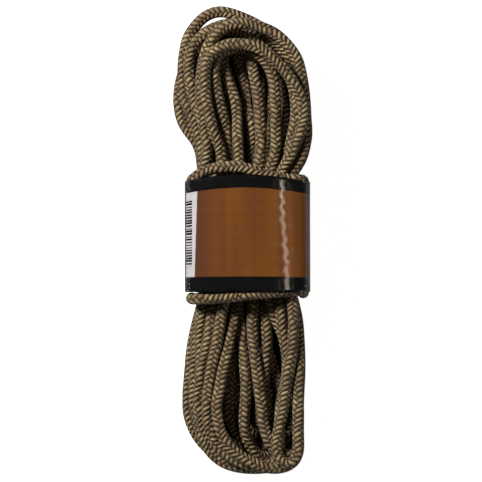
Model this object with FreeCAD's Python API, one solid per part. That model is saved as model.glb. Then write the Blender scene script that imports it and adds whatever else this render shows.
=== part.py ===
import FreeCAD, Part
import math
import os
from dataclasses import dataclass

# A hank of braided cord, 7 mm thick and sold as 15 m, held by a printed card sleeve.
# Millimetres. X is across the hank, Y along it, and Z rises from the surface that it lies on.

# Cord
CORD = 7.0                  # diameter of the cord
CORE = 5.0                  # diameter of the core inside the braided cover
CORE_GAP = 0.1              # room round the core
AIR = 0.55                  # air between neighbouring strands at the waist
STEP = CORD + AIR           # from one strand's centre line to the next
SEAL = 2.5                  # length of the melted plug on each end of the cord
SEAL_DOME = 1.2             # height of the plug's rounded tip

# Loops, wound as round two posts
LAYERS = 4                  # from the innermost loops outwards
HALF_TURNS = 11             # in each layer, wound side by side from back to front or front to back
END_STEP = 8.0              # from layer to layer round the open ends
FAN_STEP = 9.0              # from loop to loop at the open ends, back to front

# Turns of the same cord round the waist
WRAPS = 10
WRAP_PITCH = 8.1
WRAP_BEND = 11.0            # radius of the bend from the last leg into the wraps
WRAP_START_Y = -37.0        # the first wrap sets off at the back
TAIL_X = 6.0                # the cord ends at the back, this far right of the waist's middle
ARCH_LEAN = 10.0            # degrees that the wraps fall away at each side of the front

# Sleeve
CARD = 0.4                  # thickness of the card
FILM = 0.12                 # thickness of the clear film over the print
FILM_HEM = 3.0              # the film ends this far above the surface, so the back is bare card
GLUE = 0.1                  # thickness of the glue in the seam
SLEEVE_GAP = 0.6            # air between the sleeve and the wraps
SLEEVE_TOP = 36.0
SLEEVE_BOTTOM = -31.0
SLEEVE_X = 3.3              # the waist stands this far right of the hank's middle
SEAM = 12.0                 # width of the overlap at the back
SEAM_SLOPE = 3.0            # width over which the inner flap steps in
GLUE_INSET = 2.0            # from the glue to the card's edges

# Places along the hank
WAIST_TOP = 47.0            # between these two the strands lie side by side
WAIST_BOTTOM = -43.0
FIRST_END_Y = -20.0         # the cord begins here, inside the waist
LAST_LEG_Y = -60.0          # the last loop's leg is straight from here

# Heights above the surface
FLOOR_GAP = 0.2             # under the lowest loops at the open ends
SLEEVE_BACK = 2 * CARD + GLUE
BACK_WRAP_Z = SLEEVE_BACK + SLEEVE_GAP + CORD / 2
WAIST_Z = BACK_WRAP_Z + STEP
END_Z = FLOOR_GAP + CORD / 2
ROWS = HALF_TURNS / 2       # loops from the back row to the front one
SLEEVE_BEND = STEP + CORD / 2 + SLEEVE_GAP  # inside radius of the sleeve round the corner strands

SAMPLE = 1.5                # from point to point where the gaps are measured


@dataclass(frozen=True)
class OpenEnd:
    """Where the loops turn back, as seen from the front."""

    bulge_y: float          # where the legs stand furthest apart
    apex_y: float           # the outermost loop's centre line
    eye: float              # from the middle to the innermost legs' centre lines
    lean_x: float           # how far the front loops lie from the middle ones
    lean_y: float

    @property
    def up(self):
        return math.copysign(1, self.apex_y)


TOP = OpenEnd(bulge_y=84.0, apex_y=136.5, eye=11.5, lean_x=4.0, lean_y=-3.0)
BOTTOM = OpenEnd(bulge_y=-104.0, apex_y=-138.5, eye=10.5, lean_x=1.5, lean_y=-1.0)
BULGE_BEND = 16.0           # radius of the innermost leg's bend into the bulge
BULGE_SHARE = 0.1           # least share of a leg's two bends that the one at the bulge has
SIDE_TURN = math.radians(20)    # part of an end's quarter turn that is made beside the bulge


def vec(x, y, z):
    return FreeCAD.Vector(x, y, z)


def unit(vector):
    return FreeCAD.Vector(vector).normalize()


class Run:
    """A straight stretch of a centre line."""

    radius = math.inf

    def __init__(self, start, end):
        self.start = start
        self.end = end
        self.length = (end - start).Length

    def at(self, share):
        return self.start + (self.end - self.start) * share

    def edge(self):
        return Part.LineSegment(self.start, self.end).toShape()


class Bend:
    """A circular stretch of a centre line, which leaves start along heading."""

    def __init__(self, start, heading, end):
        chord = end - start
        self.start = start
        self.heading = heading
        self.across = unit(chord - heading * chord.dot(heading))
        self.end = end
        self.radius = chord.dot(chord) / (2 * chord.dot(self.across))
        self.turn = 2 * math.atan2(chord.dot(self.across), chord.dot(heading))
        self.length = self.radius * self.turn

    def at(self, share):
        angle = self.turn * share
        along = self.heading * (self.radius * math.sin(angle))
        return self.start + along + self.across * (self.radius * (1 - math.cos(angle)))

    def edge(self):
        return Part.Arc(self.start, self.at(0.5), self.end).toShape()


@dataclass
class Knot:
    """A point on a centre line and the heading there, with its layer on a loop."""

    point: FreeCAD.Vector
    heading: FreeCAD.Vector
    end: OpenEnd = None     # nothing at the waist and on the wraps
    layer: int = 0


# Centre lines

def biarc(first, last, ratio):
    """Two bends between two knots, with tangents as ratio to 1."""
    span = last.point - first.point
    square = 2 * ratio * (first.heading.dot(last.heading) - 1)
    linear = span.dot(first.heading * ratio + last.heading)
    if abs(square) < 1e-9:
        reach = span.dot(span) / (2 * linear)
    else:
        reach = (linear - math.sqrt(linear ** 2 - square * span.dot(span))) / square
    corner = first.point + first.heading * (ratio * reach)
    step = last.point - last.heading * reach - corner
    middle = corner + step * (ratio / (1 + ratio))
    return [Bend(first.point, first.heading, middle), Bend(middle, unit(step), last.point)]


def leg_ratio(waist, bulge):
    """Keeps the layers' legs parallel where they spread from the waist to an open end."""
    span = bulge.point - waist.point
    both = (span.x ** 2 + span.y ** 2) / (2 * abs(span.x))
    at_bulge = max(BULGE_BEND + waist.layer * STEP, both * BULGE_SHARE)
    return (both - at_bulge) / at_bulge


def fold_ratio(bulge, apex):
    """Keeps the layers parallel in a quarter turn round an open end."""
    width = abs(apex.point.x - bulge.point.x)
    height = abs(apex.point.y - bulge.point.y)
    cos, sin = math.cos(SIDE_TURN), math.sin(SIDE_TURN)
    side_bend = height * cos - width * (1 - sin)
    apex_bend = width * sin - height * (1 - cos)
    return side_bend * math.tan(SIDE_TURN / 2) / (apex_bend * math.tan(math.pi / 4 - SIDE_TURN / 2))


def bend_ratio(first, last):
    if first.end and last.end:
        at_side = abs(first.heading.y) > abs(last.heading.y)
        return fold_ratio(first, last) if at_side else 1 / fold_ratio(last, first)
    if last.end:
        return leg_ratio(first, last)
    return 1 / leg_ratio(last, first) if first.end else 1.0


def centre_line(knots):
    """Runs and bends through the knots, in order."""
    stretches = []
    for first, last in zip(knots, knots[1:]):
        chord = unit(last.point - first.point)
        if min(chord.dot(first.heading), chord.dot(last.heading)) > 1 - 1e-9:
            stretches.append(Run(first.point, last.point))
        else:
            stretches.extend(biarc(first, last, bend_ratio(first, last)))
    return stretches


def length_of(stretches):
    return sum(stretch.length for stretch in stretches)


# Loops

def row_at(half_turns):
    """Rows from the back. The layers are wound to the front and to the back in turn."""
    phase = half_turns % (2 * HALF_TURNS)
    return min(phase, 2 * HALF_TURNS - phase) / 2


def waist_point(side, y, layer, row):
    return vec(SLEEVE_X + side * (0.5 + layer) * STEP, y, WAIST_Z + row * STEP)


def bulge_point(end, side, layer, row):
    depth = row / ROWS * 2 - 1
    x = side * (end.eye + layer * END_STEP) + end.lean_x * depth
    z = (END_Z + WAIST_Z + row * (FAN_STEP + STEP)) / 2
    return vec(x, end.bulge_y + end.lean_y * depth, z)


def apex_point(end, layer, row):
    depth = row / ROWS * 2 - 1
    y = end.apex_y - end.up * (LAYERS - 1 - layer) * END_STEP + end.lean_y * depth
    return vec(end.lean_x * depth, y, END_Z + row * FAN_STEP)


def half_turn(count):
    """Five knots: up the right leg, over the top and down on the left, or the same below."""
    end, side, waist_y = (TOP, 1, WAIST_TOP) if count % 2 == 0 else (BOTTOM, -1, WAIST_BOTTOM)
    layer = count // HALF_TURNS
    away = vec(0, end.up, 0)
    over = vec(-end.up, 0, 0)
    rows = [row_at(count + quarter / 4) for quarter in range(5)]
    return [
        Knot(waist_point(side, waist_y, layer, rows[0]), away, None, layer),
        Knot(bulge_point(end, side, layer, rows[1]), away, end, layer),
        Knot(apex_point(end, layer, rows[2]), over, end, layer),
        Knot(bulge_point(end, -side, layer, rows[3]), -away, end, layer),
        Knot(waist_point(-side, waist_y, layer, rows[4]), -away, None, layer),
    ]


def tilt_ends(knots):
    """Tilt the headings at the open ends along the rise from knot to knot."""
    for before, knot, after in zip(knots, knots[1:], knots[2:]):
        if knot.end:
            way = (knot.point - before.point).Length + (after.point - knot.point).Length
            knot.heading = unit(knot.heading + vec(0, 0, (after.point.z - before.point.z) / way))


def loop_knots():
    """From the inner end of the cord to the leg that leads to the wraps."""
    up = vec(0, 1, 0)
    knots = [Knot(waist_point(1, FIRST_END_Y, 0, 0), up)]
    for count in range(LAYERS * HALF_TURNS):
        knots += half_turn(count)
    last_x = knots[-1].point.x
    knots[-1] = Knot(vec(last_x, LAST_LEG_Y, BACK_WRAP_Z), up, None, LAYERS - 1)
    tilt_ends(knots)
    return knots + [Knot(vec(last_x, LAST_LEG_Y + CORD, BACK_WRAP_Z), up)]


# Wraps and sleeve outlines

def corner_centres(seat):
    """The waist's corner strands in the order that the wraps pass them, the back ones seat lower."""
    half = (LAYERS - 0.5) * STEP
    back, front = WAIST_Z - seat, WAIST_Z + ROWS * STEP
    return [vec(SLEEVE_X + x, 0, z) for x, z in ((-half, back), (-half, front), (half, front), (half, back))]


def ring_knots(radius, seat=0.0):
    """Flat outline round the waist: a knot where it enters and leaves each corner."""
    lean = math.radians(ARCH_LEAN)
    quarter = math.pi / 2
    spans = (3 * quarter, 2 * quarter), (2 * quarter, quarter + lean), (quarter - lean, 0), (0, -quarter)
    knots = []
    for centre, angles in zip(corner_centres(seat), spans):
        for angle in angles:
            out = vec(math.cos(angle), 0, math.sin(angle))
            knots.append(Knot(centre + out * radius, vec(out.z, 0, -out.x)))
    return knots


def wrap_knots(start):
    """From the end of the loops to the outer end of the cord."""
    ring = ring_knots(STEP)
    slope = vec(0, WRAP_PITCH / length_of(centre_line(ring + ring[:1])), 0)
    up = vec(0, 1, 0)
    left = unit(vec(-1, 0, 0) + slope)
    bend = Knot(vec(start.x, WRAP_START_Y - WRAP_BEND, BACK_WRAP_Z), up)
    knots = [Knot(start, up), bend, Knot(vec(start.x - WRAP_BEND, WRAP_START_Y, BACK_WRAP_Z), left)]
    before = Knot(vec(start.x - WRAP_BEND, 0, BACK_WRAP_Z), vec(-1, 0, 0))
    y = WRAP_START_Y
    for knot in ring * WRAPS:
        y += length_of(centre_line([before, knot])) * slope.y
        knots.append(Knot(knot.point + vec(0, y, 0), unit(knot.heading + slope)))
        before = knot
    corner = knots[-1]
    way = (corner.point.x - SLEEVE_X - TAIL_X) / abs(corner.heading.x)
    return knots + [Knot(corner.point + corner.heading * way, corner.heading)]


def ring_face(radius, seat):
    ring = ring_knots(radius, seat)
    face = Part.Face(Part.Wire([stretch.edge() for stretch in centre_line(ring + ring[:1])]))
    face.translate(vec(0, SLEEVE_BOTTOM, 0))
    return face


# Gaps

def sample_points(stretches):
    points = []
    for stretch in stretches:
        count = math.ceil(stretch.length / SAMPLE)
        points += [stretch.at(k / count) for k in range(count)]
    return points + [stretches[-1].end]


def chord_distance(point, start, end):
    chord = end - start
    share = (point - start).dot(chord) / chord.dot(chord)
    return (start + chord * min(1, max(0, share)) - point).Length


def cell_of(point):
    return tuple(int(part // (2 * CORD)) for part in point)


def least_gap(points, others, skip):
    """Air between two cords along their points, leaving out points within skip of each other."""
    cells = {}
    for index, point in enumerate(others[:-1]):
        cells.setdefault(cell_of(point), []).append(index)
    least = math.inf
    for index, point in enumerate(points):
        x, y, z = cell_of(point)
        keys = [(x + a, y + b, z + c) for a in (-1, 0, 1) for b in (-1, 0, 1) for c in (-1, 0, 1)]
        for other in [near for key in keys for near in cells.get(key, ())]:
            if abs(other - index) >= skip:
                least = min(least, chord_distance(point, others[other], others[other + 1]))
    return least - CORD


def print_measures(loops, wraps):
    skip = 4 * CORD / SAMPLE
    points = {"loops": sample_points(loops), "wraps": sample_points(wraps)}
    for name, stretches in (("loops", loops), ("wraps", wraps)):
        gap = least_gap(points[name], points[name], skip)
        bend = min(stretch.radius for stretch in stretches)
        print(f"{name}: {length_of(stretches):.0f} mm, least bend {bend:.2f}, least gap to itself {gap:.2f}")
    near_join = int(skip)
    between = least_gap(points["wraps"][near_join:], points["loops"][:-near_join], 0)
    print(f"cord: {length_of(loops + wraps) / 1000:.2f} m, least gap from wraps to loops {between:.2f}")


# Solids

def pipe(stretches, radius):
    first = stretches[0]
    circle = Part.Circle(first.start, unit(first.end - first.start), radius)
    spine = Part.Wire([stretch.edge() for stretch in stretches])
    return spine.makePipeShell([Part.Wire([circle.toShape()])], True, False)


def braided_cover(stretches):
    return pipe(stretches, CORD / 2).cut(pipe(stretches, CORE / 2 + CORE_GAP))


def core(stretches):
    return pipe(stretches, CORE / 2)


def sealed_end(point, outward):
    """A melted plug with a rounded tip, seated on the end of the cord."""
    edge = SEAL - SEAL_DOME
    radius = CORD / 2
    seat, rim, shoulder, tip = vec(0, 0, 0), vec(radius, 0, 0), vec(radius, 0, edge), vec(0, 0, SEAL)
    outline = [Run(tip, seat), Run(seat, rim), Run(rim, shoulder), Bend(tip, vec(1, 0, 0), shoulder)]
    face = Part.Face(Part.Wire([stretch.edge() for stretch in outline]))
    plug = face.revolve(seat, vec(0, 0, 1), 360)
    plug.Placement = FreeCAD.Placement(point, FreeCAD.Rotation(vec(0, 0, 1), outward))
    return plug


def sleeve_layer(inner, outer, low, high, left, width):
    """A layer between two radii round the waist's corners, less what a box of full length holds."""
    seat = CARD + GLUE
    length = SLEEVE_TOP - SLEEVE_BOTTOM
    layer = ring_face(outer, seat).cut(ring_face(inner, seat)).extrude(vec(0, length, 0))
    return layer.cut(Part.makeBox(width, length, high - low, vec(left, SLEEVE_BOTTOM, low)))


def sleeve_card():
    """The card with its inner flap, which steps in and lies on the outer one at the back."""
    step_x = SLEEVE_X - SEAM / 2
    slope_x = step_x - SEAM_SLOPE
    rise = CARD + GLUE
    under = [(slope_x, 0), (step_x, rise), (step_x + SEAM, rise)]
    over = [(x, z + CARD) for x, z in reversed(under)]
    flap = Part.Face(Part.makePolygon([vec(x, SLEEVE_BOTTOM, z) for x, z in under + over + under[:1]]))
    flap = flap.extrude(vec(0, SLEEVE_TOP - SLEEVE_BOTTOM, 0))
    band = sleeve_layer(SLEEVE_BEND, SLEEVE_BEND + CARD, 0, SLEEVE_BACK, slope_x, SEAM_SLOPE)
    return band.fuse(flap).removeSplitter()


def sleeve_film():
    """Clear film over the front and the sides of the card."""
    inner = SLEEVE_BEND + CARD
    half = LAYERS * STEP + inner
    return sleeve_layer(inner, inner + FILM, -FILM, FILM_HEM, SLEEVE_X - half, 2 * half)


def sleeve_glue():
    corner = vec(SLEEVE_X - SEAM / 2 + GLUE_INSET, SLEEVE_BOTTOM + GLUE_INSET, CARD)
    length = SLEEVE_TOP - SLEEVE_BOTTOM - 2 * GLUE_INSET
    return Part.makeBox(SEAM - 2 * GLUE_INSET, length, GLUE, corner)


def export(name, shape):
    assert shape.isValid() and len(shape.Solids) == 1, name
    box = shape.BoundBox
    print(f"{name}: {shape.Volume:.0f} mm3, {box.XLength:.1f} x {box.YLength:.1f} x {box.ZLength:.1f}")
    shape.Solids[0].exportStep(f"parts/{name}.step")


def main():
    os.makedirs("parts", exist_ok=True)
    loops = centre_line(loop_knots())
    wraps = centre_line(wrap_knots(loops[-1].end))
    print_measures(loops, wraps)
    first, last = loops[0], wraps[-1]
    export("hank_cover", braided_cover(loops))
    export("hank_core", core(loops))
    export("wrap_cover", braided_cover(wraps))
    export("wrap_core", core(wraps))
    export("inner_end", sealed_end(first.start, unit(first.start - first.end)))
    export("outer_end", sealed_end(last.end, unit(last.end - last.start)))
    export("sleeve_card", sleeve_card())
    export("sleeve_film", sleeve_film())
    export("sleeve_glue", sleeve_glue())


main()
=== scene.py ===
"""A hank of 7 mm braided cord in a card sleeve, seen from the front on a pale floor.

Lengths are in millimetres until a mesh is made, and in metres from there on. X is across the hank,
Y along it, and Z rises from the floor.
"""
import sys
import logging
import math
from dataclasses import dataclass, field
from enum import Enum

import bmesh
import bpy
import numpy as np
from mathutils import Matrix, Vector, kdtree


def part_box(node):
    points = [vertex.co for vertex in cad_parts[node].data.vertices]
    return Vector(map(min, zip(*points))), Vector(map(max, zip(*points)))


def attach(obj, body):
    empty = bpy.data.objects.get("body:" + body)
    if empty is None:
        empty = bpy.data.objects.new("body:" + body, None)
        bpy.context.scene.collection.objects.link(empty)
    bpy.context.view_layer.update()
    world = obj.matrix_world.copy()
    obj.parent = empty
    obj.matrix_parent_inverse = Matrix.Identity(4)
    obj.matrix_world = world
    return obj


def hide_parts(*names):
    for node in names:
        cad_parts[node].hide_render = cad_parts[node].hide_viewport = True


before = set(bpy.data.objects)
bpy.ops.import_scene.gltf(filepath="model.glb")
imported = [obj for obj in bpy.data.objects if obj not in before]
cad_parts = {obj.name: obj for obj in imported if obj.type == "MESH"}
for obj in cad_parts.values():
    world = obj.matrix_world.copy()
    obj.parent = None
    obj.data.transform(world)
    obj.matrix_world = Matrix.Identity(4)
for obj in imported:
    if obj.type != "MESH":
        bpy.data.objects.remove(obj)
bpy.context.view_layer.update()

logging.basicConfig(level=logging.INFO, format="%(message)s", stream=sys.stdout, force=True)
log = logging.getLogger("hank")

MM = 0.001
IMAGE_SIDE = 482  # pixels
Place = tuple[float, float, float]
Limit = tuple[float, float, float, int]


class Body(str, Enum):
    """The bodies that the pieces ride on."""

    CORD = "cord"
    SLEEVE = "sleeve"


def to_linear(colour: str) -> tuple[float, float, float, float]:
    """Turn an sRGB colour into linear light.

    Args:
        colour: six hex digits after a hash sign.

    Returns:
        Red, green, blue and a full alpha.
    """
    parts = [int(colour[k:k + 2], 16) / 255 for k in (1, 3, 5)]
    light = [c / 12.92 if c <= 0.04045 else ((c + 0.055) / 1.055) ** 2.4 for c in parts]
    return (*light, 1.0)


def add_node(tree: bpy.types.NodeTree, kind: str, settings: dict | None = None,
             inputs: dict | None = None) -> bpy.types.Node:
    """Add a node with its settings, values and links.

    Args:
        tree: the node tree that it goes into.
        kind: the node's type.
        settings: its own properties.
        inputs: for each input's name or place, a value or the socket that feeds it.

    Returns:
        The new node.
    """
    node = tree.nodes.new(kind)
    for name, value in (settings or {}).items():
        setattr(node, name, value)
    for key, value in (inputs or {}).items():
        if isinstance(value, bpy.types.NodeSocket):
            tree.links.new(value, node.inputs[key])
        else:
            node.inputs[key].default_value = value
    return node


def new_material(name: str) -> tuple[bpy.types.Material, bpy.types.NodeTree, bpy.types.Node]:
    """Start a material.

    Args:
        name: its name.

    Returns:
        The material, its emptied node tree and the tree's output.
    """
    material = bpy.data.materials.new(name)
    material.use_nodes = True
    tree = material.node_tree
    tree.nodes.clear()
    return material, tree, add_node(tree, "ShaderNodeOutputMaterial")


def new_object(name: str, mesh: bpy.types.ID) -> bpy.types.Object:
    """Link a mesh or a curve into the scene.

    Args:
        name: the object's name.
        mesh: what it shows.

    Returns:
        The new object.
    """
    made = bpy.data.objects.new(name, mesh)
    bpy.context.collection.objects.link(made)
    return made


# Places that the cord in front runs through in the photograph, by half turns wound before it, from the
# right leg over the top to the left one for even counts, and from the left one round the bottom for odd ones.
SEEN_LOOPS: dict[int, tuple[Place, ...]] = {
    # front loop
    32: (
        (24.5, 42, 49), (27, 46.5, 51), (29.5, 52, 53), (33, 60, 54), (36.5, 67.5, 56),
        (37.8, 75, 57), (37.2, 82, 58), (35, 89, 58), (31.5, 95.5, 58), (27, 102.5, 58),
        (20.5, 109, 58), (14, 115, 58), (6.5, 118.5, 58), (-0.5, 119.5, 58), (-7.5, 119.5, 58),
        (-13.5, 117, 58), (-18.5, 113, 57), (-21.5, 108.5, 56), (-22.5, 102.5, 56),
        (-22.5, 96, 56), (-22, 89, 55), (-21, 82.5, 54), (-19.5, 75, 54), (-17.5, 67.5, 54),
        (-14.5, 60.5, 53), (-12, 53, 52), (-12, 44.5, 52),
    ),
    # large loop
    34: (
        (30.5, 41, 46), (34, 46, 47), (37, 51, 48), (39, 57.5, 48), (40, 65.5, 49), (39, 74, 49),
        (38.5, 83.5, 50), (37.5, 93.5, 50), (36, 102, 50), (34, 110, 50), (30.5, 116, 50),
        (25.5, 122, 50), (19.5, 127, 50), (12.5, 130, 50), (5, 132.5, 50), (-2.5, 132.5, 50),
        (-9, 131, 50), (-15, 127, 50), (-20, 120, 50), (-22.5, 113, 50), (-24, 105.5, 49),
        (-25, 97, 48), (-25, 88, 47), (-24.5, 78.5, 47), (-22.5, 70, 46), (-20, 61.5, 46),
        (-19.5, 52.5, 45), (-22, 43.5, 45),
    ),
    # hooked loop
    30: (
        (22.5, 41, 41), (25, 49.5, 41), (28, 58.5, 42), (31, 67.5, 42), (33, 77.5, 42),
        (33, 87, 40), (31, 96, 37), (27, 102, 34), (22.5, 108.5, 32), (17, 114.5, 31),
        (11, 119.5, 31), (5, 123.5, 32), (-1, 126, 34), (-8, 129.5, 38), (-14, 130, 42),
        (-20.5, 128, 42), (-26, 124, 42), (-30, 118.5, 42), (-32, 113, 42), (-32.5, 107, 42),
        (-32, 100, 42), (-31, 93.5, 42), (-29.5, 86, 42), (-27, 78.5, 42), (-24, 71, 43),
        (-20.5, 63, 43), (-19, 54.5, 44), (-17, 43.5, 44),
    ),
    # left crest
    36: (
        (30, 41, 41), (35, 47.5, 40), (38, 55.5, 39), (39, 64.5, 38), (38.5, 75, 37),
        (38, 85, 37), (36.5, 94.5, 37), (34, 103.5, 36), (30.5, 111.5, 36), (25.5, 119, 36),
        (19.5, 125, 36), (13, 130.5, 36), (5.5, 135, 36), (-1, 138, 36), (-7.5, 140.5, 36),
        (-13.5, 141.5, 36), (-19.5, 140.5, 36), (-25.5, 137, 36), (-31, 130.5, 36),
        (-34.5, 124, 36), (-36, 116.5, 36), (-36.5, 110, 36), (-36.5, 103, 36), (-36, 96, 36),
        (-34.5, 88.5, 36), (-31.5, 80.5, 36), (-28, 74, 36), (-24.5, 67, 36), (-22.5, 58.5, 36),
        (-22.5, 49.5, 37), (-23, 42, 37),
    ),
    # left bulge
    38: (
        (30, 41, 34), (34, 49.5, 33), (36.5, 58.5, 32), (37, 69, 31), (36.5, 80, 30),
        (35.5, 90.5, 30), (33.5, 100, 29), (30, 109, 29), (24.5, 117, 28), (17.5, 124, 28),
        (10.5, 127.5, 28), (2.5, 129.5, 28), (-5.5, 129.5, 28), (-13.5, 128, 28),
        (-20, 124.5, 28), (-26, 118.5, 28), (-31.5, 112, 28), (-35.5, 105, 28), (-38, 97, 28),
        (-39, 88.5, 28), (-38.5, 80.5, 28), (-36.5, 73, 28), (-32.5, 67, 29), (-28, 61.5, 29),
        (-25.5, 55.5, 29), (-24.5, 49, 30), (-24, 41, 30),
    ),
    # middle pair
    10: (
        (8, 39.5, 48), (10.5, 47, 48), (11.5, 55.5, 48), (11.5, 64, 47), (11, 72.5, 47),
        (10.5, 81, 46), (9.5, 89.5, 45), (8, 98, 44), (6.5, 107, 43), (3.5, 114.5, 42),
        (-1, 120, 41), (-7.5, 120, 42), (-11.5, 114, 44), (-11.5, 106, 46), (-9, 99, 47),
        (-6, 92, 47), (-4, 85, 47), (-3, 77, 46), (-3, 69, 48), (-3, 61, 50), (-2.5, 52, 50),
        (-2, 39.5, 51),
    ),
    # wide pair
    12: (
        (16, 39.5, 48), (19, 47, 48), (20.5, 55.5, 48), (21, 64.5, 48), (20.5, 74, 48),
        (20.5, 82.5, 48), (20, 91.5, 48), (18.5, 101, 48), (14.5, 109.5, 47), (7.5, 115.5, 46),
        (-1, 117.5, 45), (-9.5, 117, 46), (-15.5, 113, 49), (-17.5, 106, 51), (-17, 99, 51),
        (-15, 89.5, 50), (-13, 80.5, 48), (-10.5, 71, 46), (-9.5, 61, 45), (-8.5, 50.5, 45),
        (-8, 39.5, 44),
    ),
    # narrow pair
    8: (
        (7.5, 39.5, 41), (6.5, 50.5, 41), (6, 60.5, 41), (5.5, 70, 40), (4, 79.5, 39),
        (2.5, 88, 37), (1, 96.5, 35), (-1, 105, 34), (-3.5, 113, 33), (-8, 119, 33),
        (-13.5, 118.5, 33), (-16, 112, 33), (-15.5, 103, 34), (-11, 86.5, 36), (-8, 77.5, 38),
        (-5.5, 67.5, 40), (-3, 55.5, 42), (-1, 40.5, 44),
    ),
    # dim pair
    14: (
        (16, 39.5, 41), (21.5, 47, 39), (25.5, 56, 38), (27, 65.5, 36), (27.5, 74.5, 34),
        (27, 83.5, 31), (25, 93.5, 30), (21.5, 103, 28), (16, 112, 27), (8, 119, 26),
        (-1, 122, 25), (-10.5, 120, 25), (-17.5, 115.5, 25), (-21.5, 107.5, 26), (-21.5, 98, 27),
        (-19.5, 88.5, 29), (-16.5, 78.5, 31), (-13.5, 67.5, 34), (-11, 55.5, 35), (-8.5, 41, 37),
    ),
    # lower fold
    33: (
        (31, -37, 56), (31.5, -46, 56), (31, -54.5, 56), (30, -64, 56), (28.5, -74, 57),
        (27, -83.5, 57), (26, -94, 57), (25, -103, 57), (23, -111.5, 57), (21.5, -119.5, 58),
        (21.5, -127, 58), (24, -133, 58), (29, -136, 58), (33.5, -134, 58),
        (35.7, -127.5, 57), (35, -119.5, 57), (34.5, -110.5, 56), (34, -100.5, 56),
        (34, -90.5, 55), (34.5, -80, 54), (34.5, -69.5, 52), (34, -59, 51), (33.5, -49, 50),
        (31.5, -38.5, 49),
    ),
    # long pair
    9: (
        (-2.5, -37, 45), (-5, -46, 46), (-7, -54.5, 48), (-9, -63, 49), (-11.5, -71.5, 50),
        (-13.5, -80.5, 50), (-15, -89.5, 51), (-16.5, -98, 51), (-16, -106, 50),
        (-14.5, -113.5, 50), (-11, -120.5, 49), (-6.5, -126.5, 48), (0, -132, 46),
        (7.5, -135.5, 43), (15, -138.5, 40), (22.5, -139.5, 37), (28.5, -138.5, 36),
        (32.5, -136.5, 37), (34, -134, 42), (32.5, -132, 48), (28.5, -130.5, 50),
        (24, -129.5, 50), (20, -126.5, 50), (16.5, -121.5, 50), (14, -115, 50),
        (12.5, -108.5, 50), (12, -101.5, 50), (11, -94, 50), (10, -86, 50), (9, -77.5, 50),
        (7.5, -67.5, 50), (6.5, -58, 49), (6, -48, 48), (6.5, -38.5, 48),
    ),
    # left run
    11: (
        (-11, -37, 51), (-13, -47, 50), (-14.5, -56.5, 49), (-16.5, -66.5, 48), (-19, -76, 46),
        (-20.5, -86, 44), (-22, -96, 43), (-22, -105, 42), (-20.5, -113.5, 41),
        (-17, -121.5, 40), (-11.5, -128, 39), (-4.5, -133.5, 38), (4.5, -137.5, 37),
        (13, -139, 36), (20, -137.5, 36), (23.5, -133, 36), (23.5, -126, 37), (23, -117.5, 38),
        (23, -109, 39), (24, -100, 40), (26, -91, 41), (28, -82.5, 42), (28.5, -74, 42),
        (28, -65.5, 43), (24.5, -56, 44), (20, -46.5, 46), (15.5, -36.5, 47),
    ),
    # inner run
    7: (
        (-0.5, -37, 38), (-0.5, -48, 41), (-0.5, -59, 43), (1, -69.5, 45), (2, -80, 46),
        (2.5, -89.5, 46), (2, -98, 46), (1, -107, 45), (1.5, -115.5, 42), (4, -122.5, 38),
        (8, -128, 34), (14, -131, 31), (20, -130.5, 30), (24, -126.5, 30), (25.5, -119.5, 30),
        (25.5, -111, 31), (24.5, -101.5, 31), (23, -91.5, 33), (21, -81.5, 34),
        (18.5, -71.5, 36), (15, -60.5, 37), (11.5, -49.5, 39), (8, -38.5, 41),
    ),
    # dark run
    5: (
        (-1, -37, 31), (-3.5, -49.5, 34), (-6, -61.5, 37), (-8.5, -74, 41), (-9.5, -86, 44),
        (-10, -97, 45), (-9.5, -107, 43), (-7, -116, 39), (-2.5, -124, 34), (3.5, -129, 28),
        (11, -132, 25), (17.5, -131, 24), (22.5, -127, 23), (24.5, -120, 23), (24.5, -111, 24),
        (23, -100.5, 25), (21, -89.5, 26), (18.5, -78.5, 28), (15, -66.5, 30), (12, -53, 32),
        (8, -38.5, 34),
    ),
    # second run
    13: (
        (-10, -37, 44), (-13.5, -47, 43), (-16.5, -56.5, 42), (-19.5, -67.5, 41),
        (-22, -78.5, 40), (-24, -89.5, 39), (-25, -99.5, 38), (-24, -108.5, 36),
        (-21.5, -117, 35), (-16.5, -125, 33), (-9, -132, 32), (0, -136.5, 30), (10, -139.5, 29),
        (19, -140.5, 28), (27, -138, 29), (31, -132, 30), (29.5, -124, 32), (22, -114.5, 31),
        (16.5, -104.5, 33), (14.5, -94, 35), (14, -83.5, 37), (14.5, -73, 39), (15.5, -63, 42),
        (14.5, -52, 42), (14, -38.5, 41),
    ),
    # third run
    31: (
        (-16.5, -37, 44), (-18.5, -48, 44), (-20, -59, 43), (-22, -70, 42), (-24, -81, 42),
        (-25, -92, 41), (-25, -102, 40), (-23.5, -111, 39), (-20, -119.5, 38), (-14, -127, 37),
        (-6.5, -133, 36), (2.5, -137.5, 35), (12, -140, 34), (22, -140.5, 34), (30, -137, 34),
        (34, -130, 34), (34, -121.5, 35), (34, -111.5, 36), (34, -101.5, 38), (32.5, -91, 40),
        (30, -80.5, 42), (27, -70, 44), (24, -59, 45), (21.5, -48, 46), (21.5, -38.5, 47),
    ),
    # first arc
    35: (
        (-23, -37, 44), (-24, -48, 44), (-24, -59, 43), (-24, -70, 42), (-23.5, -81, 41),
        (-23.5, -91, 40), (-23, -100, 38), (-21, -109, 36), (-17.5, -117.5, 34), (-12, -125, 32),
        (-5.5, -131, 30), (2.5, -136, 29), (11.5, -139, 28), (20.5, -140.5, 28),
        (28.5, -138, 28), (34, -132, 28), (34, -123, 28), (34, -113.5, 30), (34, -103, 31),
        (34, -92.5, 33), (34, -82.5, 35), (34, -71.5, 36), (34, -60.5, 38), (33.5, -49.5, 40),
        (30.5, -38.5, 41),
    ),
    # second arc
    37: (
        (-23, -37, 37), (-26, -48, 36), (-27.5, -59, 35), (-28, -70, 34), (-28.5, -81, 33),
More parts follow.
